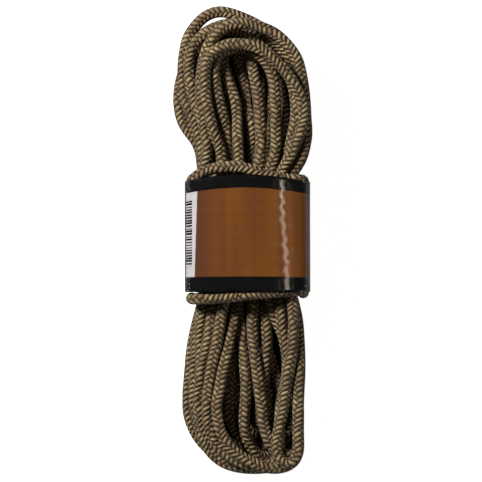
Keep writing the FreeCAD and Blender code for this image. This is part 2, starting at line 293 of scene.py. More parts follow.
        (-28.5, -91, 32), (-28, -100, 30), (-26, -109, 29), (-22.5, -117.5, 28), (-17, -125, 26),
        (-10, -131, 25), (-2, -136, 24), (7.5, -139, 22), (17, -140.5, 22), (26, -138.5, 21),
        (33, -133, 21), (34, -125, 21), (34, -115.5, 22), (34, -105, 23), (34, -94, 25),
        (34, -83, 27), (34, -71.5, 29), (34, -60.5, 31), (33, -49.5, 32), (30, -38.5, 34),
    ),
    # third arc
    39: (
        (-24, -37, 30), (-27, -48, 29), (-29.5, -59, 28), (-31, -70, 27), (-31.5, -81, 26),
        (-32, -91, 25), (-31.5, -100, 24), (-29.5, -109, 23), (-25.5, -117.5, 22),
        (-20, -125, 20), (-13, -131, 19), (-4.5, -136.5, 18), (5.5, -139.5, 16),
        (16, -140.5, 15), (25.5, -138, 14), (32.5, -132, 14), (34, -123, 14), (34, -113.5, 15),
        (34, -103, 16), (34, -92.5, 18), (34, -82.5, 20), (34, -71.5, 22), (34, -60.5, 24),
        (33, -49.5, 26), (30, -38.5, 27),
    ),
    # fourth arc
    41: (
        (-24, -37, 23), (-25.5, -47, 22), (-27, -56, 20), (-29.5, -66.5, 19), (-31.5, -77, 17),
        (-33.5, -86.5, 16), (-34.5, -95, 15), (-34, -103.5, 14), (-32.5, -112, 13),
        (-29, -120, 12), (-24, -126.5, 11), (-17.5, -132, 10), (-10, -137, 9), (-1, -139.5, 9),
        (8, -139.5, 9), (17, -140, 8), (25, -138, 8), (31, -132, 8), (31, -123, 8),
        (31, -113.5, 9), (32.5, -103, 10), (34, -92.5, 11), (34, -82.5, 12), (34, -71.5, 14),
        (34, -60.5, 15), (33, -49.5, 18), (30, -38.5, 20),
    ),
    # low pair
    6: (
        (6, 38.5, 33), (4, 49.5, 31), (2, 58, 30), (1, 66.5, 29), (0, 75, 28), (-1, 83.5, 27),
        (-3, 91.5, 26), (-5.5, 99, 26), (-9, 105, 26), (-14.5, 107.5, 26), (-19.5, 104.5, 26),
        (-21.5, 97, 26), (-20.5, 88.5, 27), (-18.5, 78.5, 28), (-16, 68.5, 29), (-13.5, 58, 31),
        (-10.5, 48, 33), (-7.5, 38.5, 35),
    ),
    # low run
    3: (
        (-1, -37, 24), (-2, -49.5, 26), (-2.5, -61.5, 31), (-3, -74, 35), (-3.5, -85, 38),
        (-3.5, -94.5, 38), (-2.5, -103, 36), (0, -110.5, 32), (4, -116.5, 28), (10, -120.5, 26),
        (16.5, -119.5, 26), (20.5, -114, 26), (21.5, -105.5, 27), (20.5, -94.5, 28),
        (18, -82.5, 28), (15, -69, 28), (11.5, -54.5, 27), (8, -38.5, 26),
    ),
}

# Across and along the hank: where the first wrap's front shows below the sleeve, and the last one's above it.
FIRST_WRAP: tuple[tuple[float, float], ...] = (
    (-34, -35.2), (-22, -34.9), (-8, -33.8), (8, -31.9), (24, -30.6), (34, -29.8), (42, -29.4))
LAST_WRAP: tuple[tuple[float, float], ...] = (
    (-34, 34.5), (-29, 38), (-24, 42), (-16, 44.5), (-8, 45.5), (2, 44.5), (10, 41.4), (17, 38.8),
    (26, 37.6), (35, 36.4), (42, 35.6))

# Corners of a line drawn tight round each open end in the photograph, from left to right. No strand
# passes it.
TOP_LINE: tuple[tuple[float, float], ...] = (
    (-31.7, 39.7), (-42.7, 81.1), (-42.7, 89.1), (-39.2, 113.5), (-37.2, 124.4), (-32.9, 132.7),
    (-27.5, 138.2), (-20.7, 143.3), (-14.3, 144.5), (-4.3, 142.4), (14, 134.6), (23.2, 129.6),
    (30.5, 123.2), (35.4, 117.1), (37.8, 112.2), (41.2, 94.6), (43.3, 65.9), (39, 39.7))
BOTTOM_LINE: tuple[tuple[float, float], ...] = (
    (-32.1, -34.8), (-37.8, -102.5), (-36.6, -114), (-33.9, -119.6), (-29.3, -125), (-21.4, -133.6),
    (-13.7, -139), (-6.7, -142.1), (2.4, -143.4), (13.4, -142.8), (23.8, -141.6), (29, -140.3),
    (34.2, -136.6), (37.6, -129.3), (38.6, -122), (38.6, -48), (37.4, -36))

# The front loop's left leg crosses to the lower right under the sleeve.
CROSSING_LEG: tuple[Place, ...] = ((-12, 36, 52), (-6, 22, 54), (4, 6, 56), (15, -10, 57), (25, -24, 57))


@dataclass(frozen=True)
class OpenEnd:
    """Where the loops turn back at one end of the hank, in millimetres; up is 1 or -1."""

    up: int
    waist_y: float
    apex_y: float
    eye: float
    lean_x: float
    lean_y: float


@dataclass
class HankRoute:
    """The cord's way: 22 loops wound in layers, then ten turns round the waist.

    Layers, rows, ends and wraps have the same names and sizes as in the part's source. The loops in
    front follow the photograph, in places read off it.
    """

    cord: float = 7.0
    step: float = 7.55
    layers: int = 4
    half_turns: int = 11
    end_step: float = 8.0
    fan: float = 7.1
    wraps: int = 10
    wrap_pitch: float = 7.6
    wrap_arch: float = 2.5
    wrap_start_y: float = -37.6
    entry_bend: float = 9.0
    back_wrap_z: float = 5.0
    waist_z: float = 12.55
    waist_row: float = 7.05
    end_z: float = 3.7
    rows: float = 5.5
    sleeve_x: float = 3.3
    first_end_y: float = -20.0
    last_leg_y: float = -60.0
    last_leg_gap: float = 8.0
    top: OpenEnd = OpenEnd(up=1, waist_y=47.0, apex_y=136.5, eye=11.5, lean_x=4.0, lean_y=-3.0)
    bottom: OpenEnd = OpenEnd(up=-1, waist_y=-43.0, apex_y=-138.5, eye=10.5, lean_x=1.5, lean_y=-1.0)
    hidden_waist: tuple[float, float] = (36.0, -32.0)
    tuck: float = 2.0
    sways: tuple[float, ...] = (4.0, 3.0, 2.0, 0.0)
    eye_spread: tuple[float, float] = (-1.2, 0.6)
    apex_spread: tuple[float, float] = (0.0, 2.0)
    front_loop: int = 32
    firm: tuple[int, ...] = (32, 33, 34, 36, 38, 41)
    firm_hold: float = 0.4
    seen_hold: float = 0.14
    seen_height_hold: float = 0.004
    hidden_hold: float = 0.01
    seed: int = 25
    places: list[Place] = field(default_factory=list)
    hold: list[tuple[float, float]] = field(default_factory=list)

    def row_at(self, count: float) -> float:
        """Give the row after so many half turns.

        Args:
            count: half turns, with a share of the one under way.

        Returns:
            The row, counted from the back.
        """
        phase = count % (2 * self.half_turns)
        return min(phase, 2 * self.half_turns - phase) / 2

    def waist_point(self, side: int, y: float, layer: int, row: float) -> Place:
        """Give a leg's place at the waist.

        Args:
            side: 1 for the right and -1 for the left.
            y: place along the hank.
            layer: counted from the middle outwards.
            row: counted from the back.

        Returns:
            The leg's middle.
        """
        return self.sleeve_x + side * (0.5 + layer) * self.step, y, self.waist_z + row * self.waist_row

    def add(self, place: Place, across: float, height: float) -> None:
        """Add a control point.

        Args:
            place: where it is.
            across: how firmly it keeps its place as seen from the front, up to 1 for fixed.
            height: how firmly it keeps its height.
        """
        self.places.append(place)
        self.hold.append((across, height))

    def formula_half_turn(self, count: int, rng: np.random.Generator) -> list[Place]:
        """Work out the control points of a loop that is hidden, or seen only in part.

        Args:
            count: half turns wound before it.
            rng: gives the small differences from loop to loop.

        Returns:
            Points from one leg round the open end to the other.
        """
        end, side = (self.top, 1) if count % 2 == 0 else (self.bottom, -1)
        layer = count // self.half_turns
        depth = self.row_at(count + 0.5) / self.rows * 2 - 1
        inward = self.layers - 1 - layer
        half = end.eye + layer * self.end_step + rng.uniform(*self.eye_spread)
        half -= self.tuck if layer == 0 else 0.0
        lower = inward * self.end_step + rng.uniform(*self.apex_spread)
        apex_y = end.apex_y - end.up * lower + end.lean_y * depth
        shoulder_y = apex_y - end.up * max(half, self.cord)
        flare = [(0.03, 0.0), (0.2, 0.24), (0.58, 0.48), (0.88, 0.7), (1.0, 0.9)]
        quarter = [math.radians(a) for a in (14, 38, 63, 90)]
        leg = self.waist_point(1, 0, layer, 0)[0] - self.sleeve_x
        right = [(leg + (half - leg) * s, end.waist_y + (shoulder_y - end.waist_y) * t) for s, t in flare]
        right += [(half * math.cos(a), shoulder_y + (apex_y - shoulder_y) * math.sin(a)) for a in quarter]
        path = [(side * x, y) for x, y in right] + [(-side * x, y) for x, y in right[-2::-1]]
        points = []
        for k, (x, y) in enumerate(path):
            share = k / (len(path) - 1)
            away = min(1.0, 3 * min(share, 1 - share))
            row = self.row_at(count + share)
            waist = self.waist_z + row * self.waist_row
            z = waist + (self.end_z + row * self.fan - waist) * away
            sway = self.sways[layer] * (1 if count % 4 < 2 else -1)
            middle = self.sleeve_x * (1 - away) + (end.lean_x * depth + sway) * away
            points.append((x + middle, y, z))
        return points

    def wind_loops(self) -> None:
        """Add every loop's points, from the inner end of the cord to the leg that leads to the wraps."""
        rng = np.random.default_rng(self.seed)
        self.add(self.waist_point(1, self.first_end_y, 0, 0), 1.0, 1.0)
        self.add(self.waist_point(1, self.hidden_waist[0], 0, 0), 1.0, 1.0)
        last = self.layers * self.half_turns - 1
        for count in range(last + 1):
            layer, down = count // self.half_turns, count % 2 == 1
            side = -1 if down else 1
            if count in SEEN_LOOPS:
                for place in SEEN_LOOPS[count]:
                    across = self.firm_hold if count in self.firm else self.seen_hold
                    self.add(place, across, self.seen_height_hold)
            else:
                loop = self.formula_half_turn(count, rng)
                if count == last:
                    loop = [p for k, p in enumerate(loop)
                            if k < len(loop) / 2 or p[1] < self.last_leg_y - self.last_leg_gap]
                for place in loop:
                    self.add(place, self.hidden_hold, self.hidden_hold)
            if count == self.front_loop:
                for place in CROSSING_LEG:
                    self.add(place, 1.0, 1.0)
            elif count < last:
                next_layer = (count + 1) // self.half_turns
                row = self.row_at(count + 1)
                for k, y in enumerate(self.hidden_waist[::-1] if down else self.hidden_waist):
                    self.add(self.waist_point(-side, y, (layer, next_layer)[k], row), 1.0, 1.0)

    def corner_points(self, radius: float) -> list[tuple[float, float]]:
        """Work out a wrap's control points as seen along the hank.

        Args:
            radius: of its bends.

        Returns:
            Points from the back's left corner all the way round.
        """
        half, front = (self.layers - 0.5) * self.step, self.waist_z + self.rows * self.step
        low = self.waist_z
        points = []
        # Each quarter bend has five control points, which stand a little outside it
        near = radius * math.tan(math.radians(15))
        for x, z, first in ((-half, low, 270), (-half, front, 180), (half, front, 90), (half, low, 0)):
            centre, out = (self.sleeve_x + x, z), radius / math.cos(math.radians(15))
            start, stop = math.radians(first), math.radians(first - 90)
            ways = [(radius * math.cos(start) + near * math.cos(stop + math.pi),
                     radius * math.sin(start) + near * math.sin(stop + math.pi))]
            ways += [(out * math.cos(math.radians(first - bend)), out * math.sin(math.radians(first - bend)))
                     for bend in (15, 45, 75)]
            ways.append((radius * math.cos(stop) + near * math.cos(start + math.pi),
                         radius * math.sin(stop) + near * math.sin(start + math.pi)))
            points += [(centre[0] + a, centre[1] + b) for a, b in ways]
            if (x, z) == (-half, front):
                rise = front + radius
                points += [(self.sleeve_x + half * s, rise + self.wrap_arch * (1 - s * s))
                           for s in (-0.45, -0.15, 0.15, 0.45)]
        return points

    def wind_wraps(self, end: Place) -> None:
        """Add the bend into the wraps, the ten turns and the cord's last stretch.

        Args:
            end: where the cord stops, at the back.
        """
        x = self.waist_point(1, 0, self.layers - 1, 0)[0]
        z = self.back_wrap_z
        y = self.wrap_start_y
        bend = self.entry_bend
        for place in ((x, self.last_leg_y, z), (x, y - bend - 1, z), (x - bend / 6, y - bend / 3, z),
                      (x - bend, y, z)):
            self.add(place, 1.0, 1.0)
        ring = self.corner_points(self.step)
        around = [math.dist(a, b) for a, b in zip(ring, ring[1:] + ring[:1])]
        girth = sum(around)
        way = x - bend - ring[0][0]
        below = [-math.inf] * len(ring)
        for wrap in range(self.wraps):
            for k, (px, pz) in enumerate(ring):
                rise = y + way / girth * self.wrap_pitch
                if pz > self.waist_z + self.rows * self.step and wrap in (0, self.wraps - 1):
                    rise = float(np.interp(px, *zip(*(LAST_WRAP if wrap else FIRST_WRAP))))
                rise = below[k] = max(rise, below[k] + self.cord)
                self.add((px, rise, pz), 1.0, 1.0)
                way += around[k]
        self.add(end, 1.0, 1.0)


def line_limits(corners: tuple[tuple[float, float], ...], up: int, inside: float) -> list[Limit]:
    """Turn a line round an open end into limits for the strands' middles.

    Args:
        corners: the line's corners from left to right.
        up: 1 for the upper end and -1 for the lower one.
        inside: how far inside the line a strand's middle stays.

    Returns:
        For each run its outward direction, its distance from the origin along that, and the end.
    """
    limits = []
    for (ax, ay), (bx, by) in zip(corners, corners[1:]):
        run = math.dist((ax, ay), (bx, by))
        across, along = -up * (by - ay) / run, up * (bx - ax) / run
        limits.append((across, along, across * ax + along * ay - inside, up))
    return limits


@dataclass
class Settling:
    """Moves a cord's control points until its strands touch without lying in each other.

    The points between control points come from the same quadratic spline that the curve has. Two
    strands that lie nearer than reach, in millimetres, push each other apart in steps. In the last
    rounds nothing draws them back to where they were wound.
    """

    places: np.ndarray
    hold: np.ndarray
    limits: list[Limit]
    reach: float = 7.12
    margin: float = 3.0
    floor: float = 3.6
    samples: int = 4
    along_skip: float = 24.0
    end_from: float = 48.0
    rounds: int = 30
    free_rounds: int = 5
    steps: int = 9
    gain: float = 1.3
    least_weight: float = 0.7
    evening: float = 0.35
    touch: float = 0.3

    def spline_weights(self) -> tuple[np.ndarray, np.ndarray]:
        """Work out which control points a sample lies between.

        Returns:
            For each sample the numbers of its three control points, and their shares.
        """
        count = len(self.places)
        inner = np.arange(1, count - 1)
        t = (np.arange(self.samples) + 0.5) / self.samples
        before, after = (1 - t) ** 2 / 2, t ** 2 / 2
        shares = np.stack([before, 1 - before - after, after], axis=1)
        index = inner[:, None, None] + np.array([-1, 0, 1])[None, None, :]
        index = np.broadcast_to(index, (count - 2, self.samples, 3)).reshape(-1, 3)
        return index, np.tile(shares, (count - 2, 1))

    def find_pairs(self, points: np.ndarray, along: np.ndarray, loose: np.ndarray) -> np.ndarray:
        """Find samples of different stretches that lie near each other.

        Args:
            points: the samples.
            along: how far along the cord each one is.
            loose: which samples may move.

        Returns:
            Pairs of their numbers.
        """
        tree = kdtree.KDTree(len(points))
        for number, point in enumerate(points):
            tree.insert(point, number)
        tree.balance()
        pairs = []
        for number in np.nonzero(loose)[0]:
            for _, other, _ in tree.find_range(points[number], self.reach + self.margin):
                apart = abs(along[other] - along[number]) > self.along_skip
                if apart and (other > number or not loose[other]):
                    pairs.append((number, other))
        return np.array(pairs)

    def keep_inside(self, now: np.ndarray) -> None:
        """Move the points that lie outside the open ends' lines back onto them.

        Args:
            now: the control points, changed in place.
        """
        for across, along, most, up in self.limits:
            over = np.maximum(now[:, 0] * across + now[:, 1] * along - most, 0.0)
            over[now[:, 1] * up < self.end_from] = 0.0
            now[:, 0] -= over * across
            now[:, 1] -= over * along

    def settle(self) -> np.ndarray:
        """Run the settling.

        Returns:
            The control points where they come to rest.
        """
        index, shares = self.spline_weights()
        count = len(self.places)
        aim, now = self.places.copy(), self.places.copy()
        keep = np.stack([self.hold[:, 0], self.hold[:, 0], self.hold[:, 1]], axis=1)
        fixed = keep >= 1.0
        loose = ~fixed[index[:, 1], 0] | ~fixed[index[:, 0], 0] | ~fixed[index[:, 2], 0]
        for number in range(self.rounds):
            points = np.einsum("sk,ska->sa", shares, now[index])
            along = np.concatenate([[0], np.cumsum(np.linalg.norm(np.diff(points, axis=0), axis=1))])
            pairs = self.find_pairs(points, along, loose)
            ease = 0.0 if number >= self.rounds - self.free_rounds else 1.0
            for _ in range(self.steps):
                points = np.einsum("sk,ska->sa", shares, now[index])
                gap = points[pairs[:, 0]] - points[pairs[:, 1]]
                far = np.maximum(np.linalg.norm(gap, axis=1), 1e-6)
                deep = np.maximum(self.reach - far, 0.0)
                push = gap / far[:, None] * (0.5 * deep)[:, None]
                moved, weight = np.zeros((count, 3)), np.zeros(count)
                for ends, sign in ((pairs[:, 0], 1), (pairs[:, 1], -1)):
                    for k in range(3):
                        share = shares[ends, k]
                        for axis in range(3):
                            moved[:, axis] += np.bincount(index[ends, k], sign * push[:, axis] * share, count)
                        weight += np.bincount(index[ends, k], (deep > 0) * share, count)
                now += self.gain * moved / np.maximum(weight, self.least_weight)[:, None]
                off = now - aim
                even = off.copy()
                even[1:-1] = 0.5 * off[1:-1] + 0.25 * (off[:-2] + off[2:])
                off = off + (even - off) * self.evening
                off *= 1 - keep * ease
                off[fixed] = 0.0
                now = aim + off
                now[:, 2] = np.maximum(now[:, 2], self.floor)
                self.keep_inside(now)
        close = self.reach - far
        shift = np.linalg.norm(now - aim, axis=1)
        log.info("settled: %d points, %d touches, deepest %.2f mm, largest shift %.1f mm", count,
                 int((close > -self.touch).sum()), float(close.max()), float(shift.max()))
        return now


@dataclass(frozen=True)
class BraidFinish:
    """Dyed nylon yarn braided over two and under two: matt and soft at its edges, with painted shade
    between the yarns.

    The rounded yarns catch the light at their crowns, and their colour is painted darker, as shade,
    where they sink between one another. No two have quite the same tone. The real braid has more and
    finer yarns. They are drawn as coarse as they need to be to show.
    """

    carriers: int = 4
    pick_mm: float = 3.05
    crown: str = "#B9A47E"
    shade: str = "#6D5C46"
    # Painted shade: the dark colour that the yarns run down to between one another.
    gap: str = "#30261A"
    relief: float = 0.0012
    over_and_under: float = 4.0
    end_power: float = 2.2
    end_fall: float = 0.85
    groove: float = 0.1
    wander: float = 0.5
    wander_scale: float = 0.05
    fibre_scale: Place = (9.0, 1.2, 5.0)
    fibre_height: float = 0.18
    patch_scale: float = 90.0
    # Yarn height from which the colour is full; below it the colour is painted darker as shade.
    painted_shade_until: float = 0.75
    yarn_tones: tuple[float, float] = (0.65, 1.3)
    patch_tones: tuple[float, float] = (0.8, 1.12)
    patch_hues: tuple[float, float] = (0.482, 0.516)

    def yarns(self, tree: bpy.types.NodeTree, mine: bpy.types.NodeSocket, other: bpy.types.NodeSocket,
              shift: float) -> dict[str, bpy.types.NodeSocket]:
        """Draw the yarns that wind one way round the cord.

        Args:
            tree: the material's tree.
            mine: yarns of this way, counted from one to the next.
            other: yarns of the other way, counted the same.
            shift: how far on in its over and under this way starts.

        Returns:
            By name, the height shown, the yarn's number, and the places across and along it.
        """
        steps = (
            ("number", "FLOOR", ("mine",)),
            ("across", "FRACT", ("mine",)),
            ("crossed", "ADD", ("other", "number")),
            ("moved", "SUBTRACT", ("crossed", shift)),
            ("phase", "FLOORED_MODULO", ("moved", self.over_and_under)),
            ("on_top", "LESS_THAN", ("phase", self.over_and_under / 2)),
            ("centred", "MULTIPLY_ADD", ("across", 2.0, -1.0)),
            ("square", "MULTIPLY", ("centred", "centred")),
            ("width", "SUBTRACT", (1.0, "square")),
            ("from_middle", "SUBTRACT", ("phase", self.over_and_under / 4)),
            ("away", "ABSOLUTE", ("from_middle",)),
            ("fall", "POWER", ("away", self.end_power)),
            ("length", "MULTIPLY_ADD", ("fall", -self.end_fall, 1.0)),
            ("angle", "MULTIPLY", ("across", 2 * math.pi)),
            ("wave", "COSINE", ("angle",)),
            ("grooved", "MULTIPLY_ADD", ("wave", -self.groove, 1 - self.groove)),
            ("body", "MULTIPLY", ("width", "grooved")),
            ("high", "MULTIPLY", ("body", "length")),
            ("shown", "MULTIPLY", ("high", "on_top")),
        )
        values = {"mine": mine, "other": other}
        for name, operation, inputs in steps:
            node = add_node(tree, "ShaderNodeMath", {"operation": operation},
                            {k: values.get(value, value) for k, value in enumerate(inputs)})
            values[name] = node.outputs[0]
        return values

    def material(self) -> bpy.types.Material:
        """Build the material.

        Returns:
            A material that reads the cord's own map: turns round it, and millimetres along it.
        """
        material, tree, out = new_material("Braided nylon")
        uv = add_node(tree, "ShaderNodeUVMap", {"uv_map": "UVMap"}).outputs[0]
        axes = add_node(tree, "ShaderNodeSeparateXYZ", None, {0: uv})
        noise = add_node(tree, "ShaderNodeTexNoise", {"noise_dimensions": "2D"},
                         {"Vector": uv, "Scale": self.wander_scale, "Detail": 1.0})
        wander = add_node(tree, "ShaderNodeMath", {"operation": "MULTIPLY_ADD"},
                          {0: noise.outputs[0], 1: self.wander, 2: axes.outputs[0]}).outputs[0]
        around = add_node(tree, "ShaderNodeMath", {"operation": "MULTIPLY"},
                          {0: wander, 1: float(self.carriers)}).outputs[0]
        along = add_node(tree, "ShaderNodeMath", {"operation": "DIVIDE"},
                         {0: axes.outputs[1], 1: self.pick_mm}).outputs[0]
        right = add_node(tree, "ShaderNodeMath", {"operation": "ADD"}, {0: around, 1: along}).outputs[0]
        left = add_node(tree, "ShaderNodeMath", {"operation": "SUBTRACT"}, {0: around, 1: along}).outputs[0]
        one = self.yarns(tree, right, left, 0.0)
        two = self.yarns(tree, left, right, self.over_and_under / 2)
        crown = add_node(tree, "ShaderNodeMath", {"operation": "MAXIMUM"},
                         {0: one["shown"], 1: two["shown"]}).outputs[0]
        yarn = add_node(tree, "ShaderNodeCombineXYZ", None,
                        {0: one["across"], 1: one["phase"], 2: one["number"]})
        stretched = add_node(tree, "ShaderNodeVectorMath", {"operation": "MULTIPLY"},
                             {0: yarn.outputs[0], 1: self.fibre_scale})
        fibres = add_node(tree, "ShaderNodeTexNoise", None,
                          {"Vector": stretched.outputs[0], "Scale": 1.0, "Detail": 3.0})
        patch = add_node(tree, "ShaderNodeTexNoise", None,
                         {"Vector": add_node(tree, "ShaderNodeTexCoord").outputs["Object"],
                          "Scale": self.patch_scale, "Detail": 2.0})
        tone = add_node(tree, "ShaderNodeMix", {"data_type": "RGBA"},
                        {0: fibres.outputs[0], 6: to_linear(self.shade), 7: to_linear(self.crown)})
        pair = add_node(tree, "ShaderNodeCombineXYZ", None, {0: one["number"], 1: two["number"]})
        dice = add_node(tree, "ShaderNodeTexWhiteNoise", {"noise_dimensions": "2D"},
                        {"Vector": pair.outputs[0]})
        uneven = add_node(tree, "ShaderNodeMapRange", None,
                          {0: dice.outputs[0], 3: self.yarn_tones[0], 4: self.yarn_tones[1]})
        worn, hue = (add_node(tree, "ShaderNodeMapRange", None,
                              {0: patch.outputs[0], 1: 0.3, 2: 0.7, 3: low, 4: high}).outputs[0]
                     for low, high in (self.patch_tones, self.patch_hues))
        value = add_node(tree, "ShaderNodeMath", {"operation": "MULTIPLY"}, {0: worn, 1: uneven.outputs[0]})
        patchy = add_node(tree, "ShaderNodeHueSaturation", None,
                          {"Hue": hue, "Value": value.outputs[0], "Color": tone.outputs[2]})
        # Painted shade: below their crowns the yarns' colour runs down to the gap colour, darkening the
        # hollows between the yarns.
        depth = add_node(tree, "ShaderNodeMapRange", {"interpolation_type": "SMOOTHSTEP"},
                         {0: crown, 1: 0.0, 2: self.painted_shade_until, 3: 0.0, 4: 1.0})
        colour = add_node(tree, "ShaderNodeMix", {"data_type": "RGBA"},
                          {0: depth.outputs[0], 6: to_linear(self.gap), 7: patchy.outputs[0]})
        height = add_node(tree, "ShaderNodeMath", {"operation": "MULTIPLY_ADD"},
                          {0: fibres.outputs[0], 1: self.fibre_height, 2: crown})
        bump = add_node(tree, "ShaderNodeBump", None,
                        {"Height": height.outputs[0], "Distance": self.relief, "Strength": 1.0})
        shader = add_node(tree, "ShaderNodeBsdfPrincipled", None,
                          {"Base Color": colour.outputs[2], "Roughness": 0.6, "Specular IOR Level": 0.12,
                           "Sheen Weight": 0.12, "Sheen Roughness": 0.4, "IOR": 1.5,
                           "Normal": bump.outputs[0]})
        tree.links.new(shader.outputs[0], out.inputs[0])
        return material


@dataclass(frozen=True)
class MeltedFinish:
    """Nylon melted to a plug: dark, glossy and a little lumpy."""

    light: str = "#3A2B1C"
    dark: str = "#1C140D"
    lumps_per_m: float = 900.0
    lump_height: float = 0.0004

    def material(self) -> bpy.types.Material:
        """Build the material.

        Returns:
            The finished material.
        """
        material, tree, out = new_material("Melted nylon")
        place = add_node(tree, "ShaderNodeTexCoord").outputs["Object"]
        lumps = add_node(tree, "ShaderNodeTexNoise", None,
                         {"Vector": place, "Scale": self.lumps_per_m, "Detail": 3.0})
        tone = add_node(tree, "ShaderNodeMix", {"data_type": "RGBA"},
                        {0: lumps.outputs[0], 6: to_linear(self.dark), 7: to_linear(self.light)})
        bump = add_node(tree, "ShaderNodeBump", None,
                        {"Height": lumps.outputs[0], "Distance": self.lump_height})
        shader = add_node(tree, "ShaderNodeBsdfPrincipled", None,
                          {"Base Color": tone.outputs[2], "Roughness": 0.3, "Normal": bump.outputs[0]})
        tree.links.new(shader.outputs[0], out.inputs[0])
        return material


@dataclass
class Cord:
    """The one cord, wound and wrapped, with its braided cover."""

    diameter: float = 7.0
    sides: int = 12
    rings_per_point: int = 6
    finish: BraidFinish = BraidFinish()
    ends: MeltedFinish = MeltedFinish()

    def settled_route(self) -> np.ndarray:
        """Wind the route and let its strands settle.

        Returns:
            Control points in millimetres.
        """
        route = HankRoute()
        route.wind_loops()
        low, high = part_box("outer_end")
        stop = (high.x / MM, (low.y + high.y) / 2 / MM, (low.z + high.z) / 2 / MM)
        route.wind_wraps(stop)
        inside = self.diameter / 2
        limits = line_limits(TOP_LINE, 1, inside) + line_limits(BOTTOM_LINE, -1, inside)
        settling = Settling(np.array(route.places, dtype=float), np.array(route.hold), limits)
        return settling.settle()

    def spline_line(self, places: np.ndarray) -> bpy.types.Mesh:
        """Read the line of the quadratic NURBS spline that has these control points.

        Args:
            places: control points in millimetres.

        Returns:
            A mesh of the line's points and edges, in metres.
        """
        curve = bpy.data.curves.new("cord_line", "CURVE")
        curve.dimensions = "3D"
        spline = curve.splines.new("NURBS")
        spline.points.add(len(places) - 1)
        flat = np.ones((len(places), 4))
        flat[:, :3] = places * MM
        spline.points.foreach_set("co", flat.ravel())
        spline.order_u = 3
        spline.use_endpoint_u = True
        spline.resolution_u = self.rings_per_point
        holder = new_object("cord_line", curve)
        depsgraph = bpy.context.evaluated_depsgraph_get()
        line = bpy.data.meshes.new_from_object(holder.evaluated_get(depsgraph))
        bpy.data.objects.remove(holder)
        return line

    def tube_tree(self) -> bpy.types.NodeTree:
        """Build the nodes that sweep the cord's round section along its line and map its surface.

        Returns:
            A tree with the inputs Diameter, Sides and Material.
        """
        tree = bpy.data.node_groups.new("Sweep cord", "GeometryNodeTree")
        sockets = (("Geometry", "INPUT", "NodeSocketGeometry"), ("Diameter", "INPUT", "NodeSocketFloat"),
                   ("Sides", "INPUT", "NodeSocketInt"), ("Material", "INPUT", "NodeSocketMaterial"),
                   ("Geometry", "OUTPUT", "NodeSocketGeometry"))
        for name, way, kind in sockets:
            tree.interface.new_socket(name, in_out=way, socket_type=kind)
        given = add_node(tree, "NodeGroupInput").outputs
        line = add_node(tree, "GeometryNodeMeshToCurve", None, {"Mesh": given["Geometry"]})
        spot = add_node(tree, "GeometryNodeSplineParameter").outputs
        along = add_node(tree, "GeometryNodeCaptureAttribute", None, {"Geometry": line.outputs[0]})
        along.capture_items.new("FLOAT", "Length")
        tree.links.new(spot["Length"], along.inputs[1])
        points = add_node(tree, "ShaderNodeMath", {"operation": "ADD"}, {0: given["Sides"], 1: 1.0})
        radius = add_node(tree, "ShaderNodeMath", {"operation": "MULTIPLY"}, {0: given["Diameter"], 1: 0.5})
        section = add_node(tree, "GeometryNodeCurveArc", {"mode": "RADIUS"},
                           {"Resolution": points.outputs[0], "Radius": radius.outputs[0],
                            "Sweep Angle": 2 * math.pi})
        around = add_node(tree, "GeometryNodeCaptureAttribute", None, {"Geometry": section.outputs[0]})
        around.capture_items.new("FLOAT", "Factor")
        tree.links.new(spot["Factor"], around.inputs[1])
        tube = add_node(tree, "GeometryNodeCurveToMesh", None,
                        {"Curve": along.outputs[0], "Profile Curve": around.outputs[0]})
        length = add_node(tree, "ShaderNodeMath", {"operation": "DIVIDE"}, {0: along.outputs[1], 1: MM})
        place = add_node(tree, "ShaderNodeCombineXYZ", None, {0: around.outputs[1], 1: length.outputs[0]})
        mapped = add_node(tree, "GeometryNodeStoreNamedAttribute",
                          {"data_type": "FLOAT2", "domain": "CORNER"},
                          {"Geometry": tube.outputs[0], "Name": "UVMap", "Value": place.outputs[0]})
        closed = add_node(tree, "GeometryNodeMergeByDistance", None,
                          {"Geometry": mapped.outputs[0], "Distance": 1e-6})
        real = add_node(tree, "GeometryNodeRealizeInstances", None, {"Geometry": closed.outputs[0]})
        dressed = add_node(tree, "GeometryNodeSetMaterial", None,
                           {"Geometry": real.outputs[0], "Material": given["Material"]})
        add_node(tree, "NodeGroupOutput", None, {0: dressed.outputs[0]})
        return tree

    def sweep(self, line: bpy.types.Mesh, name: str) -> bpy.types.Object:
        """Sweep the tube along the line.

        Args:
            line: the line's points and edges.
            name: the piece's name.

        Returns:
            The piece, a closed tube.
        """
        maker = new_object("cord_maker", line)
        tree = self.tube_tree()
        modifier = maker.modifiers.new("Sweep", "NODES")
        modifier.node_group = tree
        keys = {item.name: item.identifier for item in tree.interface.items_tree if item.in_out == "INPUT"}
        modifier[keys["Diameter"]] = self.diameter * MM
        modifier[keys["Sides"]] = self.sides
        modifier[keys["Material"]] = self.finish.material()
        depsgraph = bpy.context.evaluated_depsgraph_get()
        mesh = bpy.data.meshes.new_from_object(maker.evaluated_get(depsgraph), preserve_all_data_layers=True,
                                               depsgraph=depsgraph)
        maker.modifiers.remove(modifier)
        bpy.data.objects.remove(maker)
        shape = bmesh.new()
        shape.from_mesh(mesh)
        rim = [edge for edge in shape.edges if edge.is_boundary]
        bmesh.ops.holes_fill(shape, edges=rim)
        bmesh.ops.recalc_face_normals(shape, faces=shape.faces)
        for one in shape.faces:
            one.smooth = True
        shape.to_mesh(mesh)
        shape.free()
        mesh.name = name
        return new_object(name, mesh)

